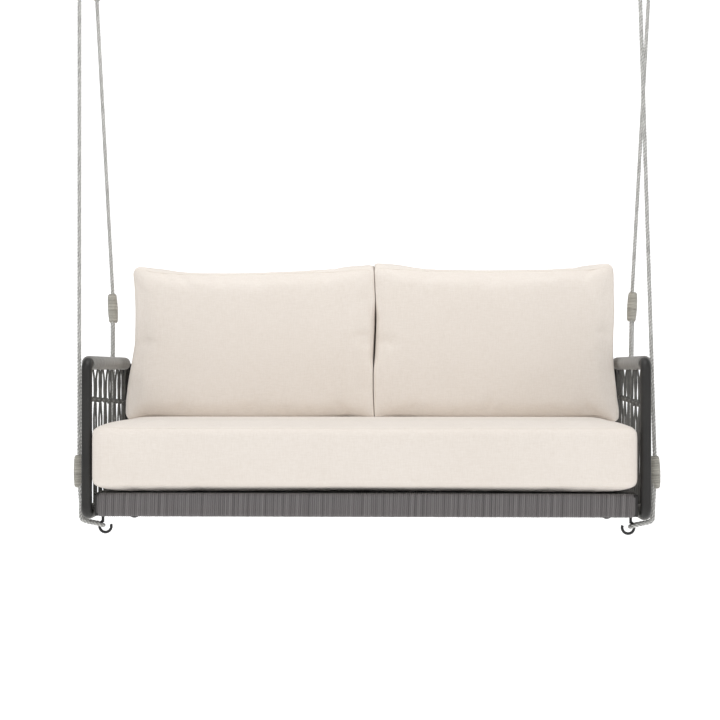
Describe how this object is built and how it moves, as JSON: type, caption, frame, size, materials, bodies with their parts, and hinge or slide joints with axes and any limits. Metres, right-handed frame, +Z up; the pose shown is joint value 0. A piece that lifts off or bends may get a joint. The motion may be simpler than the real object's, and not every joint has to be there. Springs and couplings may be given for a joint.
{
  "type": "porch swing",
  "caption": "Hanging two-seat porch swing with a bent tube frame, grey cord weave, thick cream cushions and twisted ropes on ceiling hangers.",
  "frame": {"origin": "on the ceiling, midway between the four hangers", "axes": "+Z up, -Y the front of the swing, +X to the right of someone who looks at its front"},
  "size_m": [2.043, 0.761, 2.0065],
  "materials": {
    "frame_paint": "fine-textured charcoal powder coat",
    "binding_cord": "grey braided outdoor cord, wound tight",
    "weave_cord": "grey braided outdoor cord",
    "bolt_steel": "zinc-plated socket-head bolts",
    "cushion_cover": "cream woven outdoor fabric over soft filling",
    "hook_steel": "dark coated steel hook",
    "rope": "twisted light grey rope",
    "whipping_cord": "thin light grey cord wound round the rope",
    "hanger_steel": "dark coated steel plate and staple"
  },
  "bodies": {
    "ceiling": {"front_left_hanger": "hanger_steel", "front_right_hanger": "hanger_steel", "rear_left_hanger": "hanger_steel", "rear_right_hanger": "hanger_steel"},
    "front_ropes": {"front_left_rope": "rope", "front_right_rope": "rope", "front_left_whipping": "whipping_cord", "front_right_whipping": "whipping_cord", "front_left_top_whipping": "whipping_cord", "front_right_top_whipping": "whipping_cord"},
    "seat": {"left_side_frame": "frame_paint", "right_side_frame": "frame_paint", "left_arm_binding": "binding_cord", "right_arm_binding": "binding_cord", "left_lower_binding": "binding_cord", "right_lower_binding": "binding_cord", "left_side_weave": "weave_cord", "right_side_weave": "weave_cord", "front_rail": "frame_paint", "rear_rail": "frame_paint", "left_seat_rail": "frame_paint", "right_seat_rail": "frame_paint", "seat_bearers": "frame_paint", "front_rail_binding": "binding_cord", "rear_rail_binding": "binding_cord", "seat_webbing": "weave_cord", "back_rail": "frame_paint", "back_rail_binding": "binding_cord", "back_weave": "weave_cord", "frame_bolts": "bolt_steel", "seat_cushion": "cushion_cover", "left_back_cushion": "cushion_cover", "right_back_cushion": "cushion_cover", "front_left_hook": "hook_steel", "front_right_hook": "hook_steel", "rear_left_hook": "hook_steel", "rear_right_hook": "hook_steel"},
    "rear_ropes": {"rear_left_rope": "rope", "rear_right_rope": "rope", "rear_left_whipping": "whipping_cord", "rear_right_whipping": "whipping_cord", "rear_left_top_whipping": "whipping_cord", "rear_right_top_whipping": "whipping_cord"}
  },
  "joints": [
    {"name": "swing", "type": "hinge", "parent": "ceiling", "child": "front_ropes", "pos_m": [0, -0.28, -0.06], "axis": [1, 0, 0], "range_deg": [-15, 15]},
    {"name": "seat_level", "type": "hinge", "parent": "front_ropes", "child": "seat", "pos_m": [0, -0.28, -1.975], "axis": [1, 0, 0], "range_deg": [-15, 15]},
    {"name": "rear_swing", "type": "hinge", "parent": "ceiling", "child": "rear_ropes", "pos_m": [0, 0.28, -0.06], "axis": [1, 0, 0], "range_deg": [-15, 15]}
  ],
  "couplings": [
    {"joint": "seat_level", "follows": "swing", "ratio": -1},
    {"joint": "rear_swing", "follows": "swing", "ratio": 1}
  ]
}
